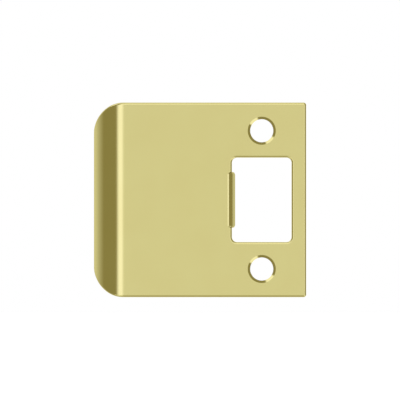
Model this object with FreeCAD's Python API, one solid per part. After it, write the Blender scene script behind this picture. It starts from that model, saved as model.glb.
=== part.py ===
import FreeCAD, Part
import math
import os

from FreeCAD import Vector

# A door strike plate, folded from one sheet of brass. Sizes are in millimetres and degrees.
# The origin is midway between the two screw holes, on the back of the plate, where it meets the jamb.
# The plate stands as it is fitted: +Z is up, its face looks along -Y, and its lip reaches out along
# -X and curls back to +Y, round the edge of the jamb.

# The sheet
sheet_thickness = 1.6
face_edge_radius = 0.6  # the die rolls over the edges of the face
back_edge_radius = 0.15

# The latch opening, centred on the line of the screws
opening_width = 17.5
opening_height = 24.8
opening_corner_radius = 1.5

# The screw holes, above and below the opening
screw_hole_radius = 3.4
countersink_width = 0.72
countersink_angle = 100.0
screw_web = 3.78  # metal between a countersink and the opening
end_margin = 8.275  # from a screw to the end of the plate

# The flat of the plate, each side of the opening
rear_web = 4.3
rear_corner_radius = 0.75
lip_flat = 30.95  # from the opening to the start of the curl

# The curled lip
lip_radius = 10.0  # outside of the curl
lip_angle = 77.0
lip_corner_radius = 8.65  # as seen from the front

# The adjusting tab, lanced from the lip's side of the opening and bent back
tab_width = 16.4
tab_root = 1.45  # from the start of its bend to the opening
tab_bend_radius = 0.5  # inside of the bend
tab_bend_angle = 59.0
tab_length = 1.6  # straight beyond the bend
tab_corner_radius = 1.0
notch_corner_radius = 1.4  # where the tab leaves the plate

# Places that follow from the sizes
face = -sheet_thickness
back = 0.0
countersink_radius = screw_hole_radius + countersink_width
screw_place = opening_height / 2 + screw_web + countersink_radius
half_height = screw_place + end_margin
opening_edge = opening_width / 2
rear_edge = opening_edge + rear_web
lip_start = -opening_edge - lip_flat
lip_end = lip_start - lip_radius * math.sin(math.radians(min(lip_angle, 90.0)))
tab_start = -opening_edge - tab_root

near_zero = 1e-4
clear = 1.0  # how far a cutting shape runs past what it cuts


def line(start, end):
    return Part.LineSegment(start, end).toShape()


def on_bend(centre, radius, angle):
    """The point at an angle round a bend. At 0 it is straight in front of the bend's centre."""
    turn = math.radians(angle)
    return centre + Vector(radius * math.sin(turn), -radius * math.cos(turn), 0)


def bend(centre, radius, angle):
    """The arc of a bend that leaves the flat at 0 and turns back. The angle is negative towards -X."""
    return Part.Arc(*[on_bend(centre, radius, turned) for turned in (0, angle / 2, angle)]).toShape()


def thickened(skin):
    """A skin of the folded sheet's face, given the sheet's thickness behind it."""
    return skin.makeOffsetShape(-sheet_thickness, near_zero, fill=True)


def block(left, right, half, left_radius=0, right_radius=0):
    """A block right through the folded sheet, with its corners rounded as seen from the front."""
    nearest = face - clear
    depth = 2 * lip_radius + 2 * clear
    shape = Part.makeBox(right - left, depth, 2 * half, Vector(left, nearest, -half))
    for side, radius in ((left, left_radius), (right, right_radius)):
        if radius:
            through = [edge for edge in shape.Edges if edge.BoundBox.YLength > depth - near_zero]
            corners = [edge for edge in through if abs(edge.CenterOfMass.x - side) < near_zero]
            shape = shape.makeFillet(radius, corners)
    return shape


def middle(one):
    u_low, u_high, v_low, v_high = one.ParameterRange
    return Part.Vertex(one.valueAt((u_low + u_high) / 2, (v_low + v_high) / 2))


def rounded(shape, skin, radius):
    """Rounds the edges of the side of a folded sheet that lies on a skin."""
    side = [one for one in shape.Faces if skin.distToShape(middle(one))[0] < near_zero]
    edges = [edge for one in side for edge in one.Edges]
    rim = [edge for edge in edges if sum(edge.isSame(other) for other in edges) == 1]
    return shape.makeFillet(radius, rim)


def sheet_skin(depth):
    """The face of the plate and its lip, or the surface this deep in the sheet, before it is trimmed."""
    bottom = -half_height - clear
    curl_centre = Vector(lip_start, face + lip_radius, bottom)
    flat_end = Vector(rear_edge + clear, face + depth, bottom)
    radius = lip_radius - depth
    flat = line(flat_end, on_bend(curl_centre, radius, 0))
    section = Part.Wire([flat, bend(curl_centre, radius, -lip_angle)])
    return section.extrude(Vector(0, 0, -2 * bottom))


def folded_sheet():
    skin = sheet_skin(0)
    outline = block(lip_end, rear_edge, half_height, lip_corner_radius, rear_corner_radius)
    sheet = thickened(Part.Shell(skin.common(outline).Faces))
    sheet = rounded(sheet, skin, face_edge_radius)
    return rounded(sheet, sheet_skin(sheet_thickness), back_edge_radius)


def latch_opening(sheet):
    """Cuts the latch opening, rolls its edge over at the face, and cuts the notch for the tab."""
    half = opening_height / 2
    hole = block(-opening_edge, opening_edge, half, opening_corner_radius, opening_corner_radius)
    sheet = sheet.cut(hole)
    around = hole.BoundBox
    around.enlarge(near_zero)
    inside = [edge for edge in sheet.Edges if around.isInside(edge.BoundBox)]
    rim = [edge for edge in inside if abs(edge.BoundBox.YMax - face) < near_zero]
    sheet = sheet.makeFillet(face_edge_radius, rim)
    return sheet.cut(block(tab_start, 0, tab_width / 2, notch_corner_radius))


def screw_hole(height):
    """The cutter for a countersunk hole, at this height on the plate."""
    backwards = Vector(0, 1, 0)
    depth = countersink_width / math.tan(math.radians(countersink_angle / 2))
    mouth = Vector(0, face, height)
    start = mouth - clear * backwards
    bore = Part.makeCylinder(screw_hole_radius, sheet_thickness + 2 * clear, start, backwards)
    countersink = Part.makeCone(countersink_radius, screw_hole_radius, depth, mouth, backwards)
    return bore.fuse(countersink)


def adjusting_tab():
    """The tab, with a flat root that lies inside the plate."""
    centre = Vector(tab_start, back + tab_bend_radius, tab_width / 2)
    radius = tab_bend_radius + sheet_thickness
    turn = math.radians(tab_bend_angle)
    onward = Vector(math.cos(turn), math.sin(turn), 0)
    leaving = on_bend(centre, radius, 0)
    arriving = on_bend(centre, radius, tab_bend_angle)
    section = Part.Wire([
        line(leaving - Vector(tab_root, 0, 0), leaving),
        bend(centre, radius, tab_bend_angle),
        line(arriving, arriving + tab_length * onward),
    ])
    skin = section.extrude(Vector(0, 0, -tab_width))
    tab = thickened(skin)
    reach = max(vertex.Point.dot(onward) for vertex in tab.Vertexes)
    tips = [edge for edge in tab.Edges if abs(edge.CenterOfMass.dot(onward) - reach) < near_zero]
    corners = [edge for edge in tips if edge.BoundBox.ZLength < near_zero]
    tab = tab.makeFillet(tab_corner_radius, corners)
    return rounded(tab, skin, face_edge_radius)


plate = latch_opening(folded_sheet())
plate = plate.cut([screw_hole(-screw_place), screw_hole(screw_place)])
plate = plate.fuse(adjusting_tab()).removeSplitter().Solids[0]

os.makedirs("parts", exist_ok=True)
plate.exportStep("parts/strike_plate.step")
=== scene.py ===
import math

import bmesh
import bpy
from mathutils import Matrix, Vector


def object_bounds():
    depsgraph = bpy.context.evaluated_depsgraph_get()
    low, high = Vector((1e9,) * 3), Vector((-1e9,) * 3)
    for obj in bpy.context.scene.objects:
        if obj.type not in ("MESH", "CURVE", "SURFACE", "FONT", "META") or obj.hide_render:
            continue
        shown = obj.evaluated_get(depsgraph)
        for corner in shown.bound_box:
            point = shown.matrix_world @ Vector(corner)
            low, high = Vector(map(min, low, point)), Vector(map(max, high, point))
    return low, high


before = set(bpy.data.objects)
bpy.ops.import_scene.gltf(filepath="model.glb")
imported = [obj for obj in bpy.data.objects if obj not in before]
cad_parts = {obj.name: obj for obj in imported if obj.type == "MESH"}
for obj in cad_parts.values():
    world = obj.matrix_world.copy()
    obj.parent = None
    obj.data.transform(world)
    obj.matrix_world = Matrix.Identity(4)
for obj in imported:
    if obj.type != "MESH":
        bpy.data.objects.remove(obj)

# A door strike plate, folded from one sheet of brass. Its face looks along -Y, and its lip curls back
# at the -X end.
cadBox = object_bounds()
mm = 0.001
plainWhite = (1, 1, 1, 1)


def linearColour(hexColour, level=1.0):
    parts = [int(hexColour[i:i + 2], 16) / 255 for i in (1, 3, 5)]
    return [level * (c / 12.92 if c <= 0.04045 else ((c + 0.055) / 1.055) ** 2.4) for c in parts] + [1.0]


def addNode(tree, kind, sockets=None, **settings):
    # A socket goes by its name, or by its number where several share one name. A Mix node takes numbers
    # at 2 and 3 and gives them at 0, vectors at 4 and 5 and gives them at 1, and colours at 6, 7 and 2.
    node = tree.nodes.new("ShaderNode" + kind)
    for name, value in settings.items():
        setattr(node, name, value)
    for name, value in (sockets or {}).items():
        if isinstance(value, bpy.types.NodeSocket):
            tree.links.new(value, node.inputs[name])
        else:
            node.inputs[name].default_value = value
    return node


def newTree(owner):
    owner.use_nodes = True
    owner.node_tree.nodes.clear()
    return owner.node_tree


# Camera: straight in front of the plate and far away, so that the curl of the lip keeps its true width
camera = {
    "lens": 1500.0,
    "sensor": 36.0,
    "frameWidth": 117.44,  # mm across the frame at the face of the plate
    "aimX": -18.13,  # mm, the place that the middle of the frame shows
    "aimZ": -0.04,
}
print("camera")
lens = bpy.data.cameras.new("camera")
lens.lens = camera["lens"]
lens.sensor_width = camera["sensor"]
tripod = bpy.data.objects.new("camera", lens)
bpy.context.collection.objects.link(tripod)
faceY = cadBox[0][1]
distance = camera["frameWidth"] * mm * camera["lens"] / camera["sensor"]
tripod.location = (camera["aimX"] * mm, faceY - distance, camera["aimZ"] * mm)
tripod.rotation_euler = (math.radians(90), 0, 0)  # level, looking along +Y
bpy.context.scene.camera = tripod

# Studio: the surround that the polished brass mirrors. A ring has its degrees from straight in front of
# the plate, its colour and its level. A card is a soft-edged patch: which way it lies, the degrees from
# its middle at which it starts to fade and at which it is gone, its colour and its level.
studio = {
    "rings": [
        (0, "#FFFFFF", 1.0),
        (9, "#FFFFFF", 1.0),
        (16.5, "#EDEDFF", 1.78),
        (26.2, "#EDEDFF", 1.78),
        (35, "#A69F7C", 1.0),
        (83, "#A69F7C", 1.0),
        (128, "#FFFFFF", 0.93),
        (180, "#FFFFFF", 1.0),  # the white background itself
    ],
    "cards": [
        ((0.0, -0.7, 0.7), 18, 28, "#FFFFFF", 1.32),
        ((0.0, -0.77, -0.64), 26, 33, "#F0ECD8", 0.76),
        ((-0.45, -0.62, -0.64), 6, 24, "#FFFFFF", 1.4),
        ((0.55, -0.62, -0.56), 6, 26, "#FFFFFF", 1.2),
        ((-0.64, -0.17, 0.77), 16, 25, "#F4F4FF", 1.6),
        ((0.64, -0.17, -0.77), 16, 25, "#F4F4FF", 1.6),
        ((0.0, 0.3, 0.95), 9, 26, "#FFFFFF", 1.15),
        ((0.0, 0.5, -0.87), 8, 24, "#FFFFFF", 1.1),
    ],
    "floorDrop": 32.0,  # mm below the plate
    "floorRadius": 4000.0,
    "floorSides": 64,
    "floor": "#E6E5E2",
    "floorWhite": 0.45,  # plain white that the camera sees on top of the lit paint
}
print("studio")
world = bpy.data.worlds.new("studio")
bpy.context.scene.world = world
tree = newTree(world)
direction = addNode(tree, "TexCoord").outputs["Generated"]
toFront = addNode(tree, "VectorMath", {0: direction, 1: (0, -1, 0)}, operation="DOT_PRODUCT")
angle = addNode(tree, "Math", {0: toFront.outputs["Value"]}, operation="ARCCOSINE")
turn = addNode(tree, "Math", {0: angle.outputs["Value"], 1: math.pi}, operation="DIVIDE")
ramp = addNode(tree, "ValToRGB", {"Fac": turn.outputs["Value"]})
elements = ramp.color_ramp.elements
while len(elements) < len(studio["rings"]):
    elements.new(0.5)
brightest = max(level for degrees, hexColour, level in studio["rings"])
for element, (degrees, hexColour, level) in zip(elements, studio["rings"]):
    element.position = degrees / 180
    element.color = linearColour(hexColour, level / brightest)  # a ramp's colours end at 1
scaled = addNode(tree, "VectorMath", {0: ramp.outputs["Color"], "Scale": brightest}, operation="SCALE")
colour = scaled.outputs["Vector"]
for way, inner, outer, hexColour, level in studio["cards"]:
    middle = Vector(way).normalized()
    near = addNode(tree, "VectorMath", {0: direction, 1: middle}, operation="DOT_PRODUCT")
    share = addNode(tree, "MapRange", {
        "Value": near.outputs["Value"],
        "From Min": math.cos(math.radians(outer)),
        "From Max": math.cos(math.radians(inner)),
    }, interpolation_type="SMOOTHSTEP")
    mix = addNode(tree, "Mix", {
        "Factor": share.outputs["Result"],
        6: colour,
        7: linearColour(hexColour, level),
    }, data_type="RGBA")
    colour = mix.outputs[2]
room = addNode(tree, "Background", {"Color": colour, "Strength": 1.0})
white = addNode(tree, "Background", {"Color": plainWhite, "Strength": 1.0})
path = addNode(tree, "LightPath")
seen = addNode(tree, "MixShader", {
    "Fac": path.outputs["Is Camera Ray"],
    1: room.outputs["Background"],
    2: white.outputs["Background"],
})
addNode(tree, "OutputWorld", {"Surface": seen.outputs["Shader"]})

# Floor: matt white paint, which has no gloss. It is white to the camera but for the plate's soft shadow.
# The brass doesn't mirror it, because the lower half of the surround stands for it there.
disc = bmesh.new()
floorRadius = studio["floorRadius"] * mm
bmesh.ops.create_circle(disc, cap_ends=True, segments=studio["floorSides"], radius=floorRadius)
floorZ = cadBox[0][2] - studio["floorDrop"] * mm
bmesh.ops.transform(disc, matrix=Matrix.Translation((0, 0, floorZ)), verts=disc.verts)
floorMesh = bpy.data.meshes.new("floor")
disc.to_mesh(floorMesh)
disc.free()
floor = bpy.data.objects.new("floor", floorMesh)
bpy.context.collection.objects.link(floor)
floor.visible_glossy = False
paint = bpy.data.materials.new("mattWhitePaint")
floorMesh.materials.append(paint)
tree = newTree(paint)
matt = addNode(tree, "BsdfDiffuse", {"Color": linearColour(studio["floor"])})
path = addNode(tree, "LightPath")
lift = addNode(tree, "Math", {
    0: path.outputs["Is Camera Ray"],
    1: studio["floorWhite"],
}, operation="MULTIPLY")
glow = addNode(tree, "Emission", {"Color": plainWhite, "Strength": lift.outputs["Value"]})
both = addNode(tree, "AddShader", {0: matt.outputs["BSDF"], 1: glow.outputs["Emission"]})
addNode(tree, "OutputMaterial", {"Surface": both.outputs["Shader"]})

# Brass sheet, buffed bright on the face and dipped in clear lacquer, so the face mirrors softly. The buff
# never reached the back or the sheared walls, so they stay duller and darker, with the marks of the
# mill's rolls and of the punch.
brass = {
    "bright": "#D3CB89",
    "brightTone": "#D0C683",  # where the alloy is a little redder
    "dull": "#C2B377",
    "dullTone": "#B3A265",  # in the marks of the rolls
    "grazing": "#F0E8BC",  # what the metal keeps of its colour where it is seen edge on
    "toneSize": 9.0,  # mm across a patch of one tone
    "toneDetail": 2.0,
    "brightRoughness": 0.115,
    "buffRoughness": 0.03,  # how much rougher the deepest lines of the buff are
    "dullRoughness": 0.27,  # how much rougher the deepest marks of the rolls and the punch are
    "buffWidth": 0.3,  # mm between buffing lines, which are finer on the real plate
    "buffLength": 9.0,
    "buffDepth": 0.0005,
    "rollWidth": 0.35,  # mm between the lines of the mill's rolls
    "rollLength": 14.0,
    "rollDepth": 0.003,
    "shearWidth": 0.22,  # mm between the lines that the punch drags down a wall
    "shearLength": 3.0,
    "shearDepth": 0.006,
    "markDetail": 3.0,
    "markContrast": 0.6,  # how strong the finer lines are beside the broad ones
    "waveSize": 32.0,  # mm from one gentle wave of the sheet to the next
    "waveDepth": 0.09,
    "dullStart": -0.15,  # how far a surface faces back, from -1 at the front to 1 at the back
    "dullEnd": 0.0,
    "backStart": 0.08,
    "backEnd": 0.25,
    "curlStart": -39.7,  # mm along X, where the lip leaves the flat
    "curlCentre": 8.4,  # mm behind the back of the plate
    "lacquer": 0.25,  # how much gloss of its own the clear coat adds
    "lacquerRoughness": 0.06,
    "lacquerIOR": 1.5,
}


def uncurled(tree, point):
    # Each point's place in the sheet before its lip was curled, so that the marks follow the curl round
    start = brass["curlStart"] * mm
    radius = brass["curlCentre"] * mm
    place = addNode(tree, "SeparateXYZ", {"Vector": point})
    beyond = addNode(tree, "Math", {0: start, 1: place.outputs["X"]}, operation="SUBTRACT").outputs[0]
    inwards = addNode(tree, "Math", {0: radius, 1: place.outputs["Y"]}, operation="SUBTRACT").outputs[0]
    angle = addNode(tree, "Math", {0: beyond, 1: inwards}, operation="ARCTAN2").outputs[0]
    along = addNode(tree, "Math", {0: angle, 1: -radius, 2: start}, operation="MULTIPLY_ADD")
    arm = addNode(tree, "CombineXYZ", {"X": beyond, "Y": inwards})
    reach = addNode(tree, "VectorMath", {0: arm.outputs["Vector"]}, operation="LENGTH")
    depth = addNode(tree, "Math", {0: radius, 1: reach.outputs["Value"]}, operation="SUBTRACT")
    flattened = addNode(tree, "CombineXYZ", {
        "X": along.outputs["Value"],
        "Y": depth.outputs["Value"],
        "Z": place.outputs["Z"],
    })
    onLip = addNode(tree, "Math", {0: beyond, 1: 0.0}, operation="GREATER_THAN")
    mix = addNode(tree, "Mix", {
        "Factor": onLip.outputs["Value"],
        4: point,
        5: flattened.outputs["Vector"],
    }, data_type="VECTOR")
    return mix.outputs[1]


def streaks(tree, point, width, length, axis):
    # Noise drawn out along one axis, as wide and as long as the marks are
    scales = [1 / (width * mm)] * 3
    scales["XYZ".index(axis)] = 1 / (length * mm)
    stretched = addNode(tree, "Mapping", {"Vector": point, "Scale": scales})
    noise = addNode(tree, "TexNoise", {
        "Vector": stretched.outputs["Vector"],
        "Scale": 1.0,
        "Detail": brass["markDetail"],
        "Roughness": brass["markContrast"],
    })
    return noise.outputs["Fac"]


def lacqueredBrass():
    material = bpy.data.materials.new("polishedLacqueredBrass")
    tree = newTree(material)
    coords = addNode(tree, "TexCoord")
    point = uncurled(tree, coords.outputs["Object"])
    facing = addNode(tree, "SeparateXYZ", {"Vector": coords.outputs["Normal"]}).outputs["Y"]
    dull = addNode(tree, "MapRange", {
        "Value": facing,
        "From Min": brass["dullStart"],
        "From Max": brass["dullEnd"],
    }, interpolation_type="SMOOTHSTEP").outputs["Result"]
    back = addNode(tree, "MapRange", {
        "Value": facing,
        "From Min": brass["backStart"],
        "From Max": brass["backEnd"],
    }, interpolation_type="SMOOTHSTEP").outputs["Result"]

    buffed = streaks(tree, point, brass["buffWidth"], brass["buffLength"], "Z")
    sheared = streaks(tree, point, brass["shearWidth"], brass["shearLength"], "Y")
    rolled = streaks(tree, point, brass["rollWidth"], brass["rollLength"], "X")
    patches = addNode(tree, "TexNoise", {
        "Vector": point,
        "Scale": 1 / (brass["toneSize"] * mm),
        "Detail": brass["toneDetail"],
    })
    waves = addNode(tree, "TexNoise", {
        "Vector": point,
        "Scale": 1 / (brass["waveSize"] * mm),
        "Detail": 0.0,
    })

    # Colour: tones of the alloy on the buffed face, and a darker skin where the buff didn't reach
    bright = addNode(tree, "Mix", {
        "Factor": patches.outputs["Fac"],
        6: linearColour(brass["bright"]),
        7: linearColour(brass["brightTone"]),
    }, data_type="RGBA")
    skin = addNode(tree, "Mix", {
        "Factor": rolled,
        6: linearColour(brass["dull"]),
        7: linearColour(brass["dullTone"]),
    }, data_type="RGBA")
    tone = addNode(tree, "Mix", {
        "Factor": dull,
        6: bright.outputs[2],
        7: skin.outputs[2],
    }, data_type="RGBA")

    # Roughness: lines of the buff on the face, of the rolls behind, and of the punch down the walls
    marks = addNode(tree, "Mix", {"Factor": back, 2: sheared, 3: rolled})
    fine = addNode(tree, "Math", {
        0: buffed,
        1: brass["buffRoughness"],
        2: brass["brightRoughness"],
    }, operation="MULTIPLY_ADD")
    coarse = addNode(tree, "Math", {
        0: marks.outputs[0],
        1: brass["dullRoughness"],
        2: brass["brightRoughness"],
    }, operation="MULTIPLY_ADD")
    roughness = addNode(tree, "Mix", {
        "Factor": dull,
        2: fine.outputs["Value"],
        3: coarse.outputs["Value"],
    })

    # Relief, in metres: each kind of mark where it belongs, over the sheet's own gentle waves
    buffHeight = addNode(tree, "Math", {0: buffed, 1: brass["buffDepth"] * mm}, operation="MULTIPLY")
    shearHeight = addNode(tree, "Math", {0: sheared, 1: brass["shearDepth"] * mm}, operation="MULTIPLY")
    rollHeight = addNode(tree, "Math", {0: rolled, 1: brass["rollDepth"] * mm}, operation="MULTIPLY")
    behind = addNode(tree, "Mix", {
        "Factor": back,
        2: shearHeight.outputs["Value"],
        3: rollHeight.outputs["Value"],
    })
    detail = addNode(tree, "Mix", {
        "Factor": dull,
        2: buffHeight.outputs["Value"],
        3: behind.outputs[0],
    })
    height = addNode(tree, "Math", {
        0: waves.outputs["Fac"],
        1: brass["waveDepth"] * mm,
        2: detail.outputs[0],
    }, operation="MULTIPLY_ADD")
    relief = addNode(tree, "Bump", {"Height": height.outputs["Value"], "Strength": 1.0, "Distance": 1.0})

    metal = addNode(tree, "BsdfPrincipled", {
        "Base Color": tone.outputs[2],
        "Metallic": 1.0,
        "Specular Tint": linearColour(brass["grazing"]),
        "Roughness": roughness.outputs[0],
        "Normal": relief.outputs["Normal"],
        "Coat Weight": brass["lacquer"],
        "Coat Roughness": brass["lacquerRoughness"],
        "Coat IOR": brass["lacquerIOR"],
    })
    addNode(tree, "OutputMaterial", {"Surface": metal.outputs["BSDF"]})
    return material


print("brass")
plate = bpy.data.objects["strike_plate"]
finish = lacqueredBrass()
for slot in plate.material_slots:
    slot.material = finish

bpy.context.scene.view_settings.view_transform = "Standard"
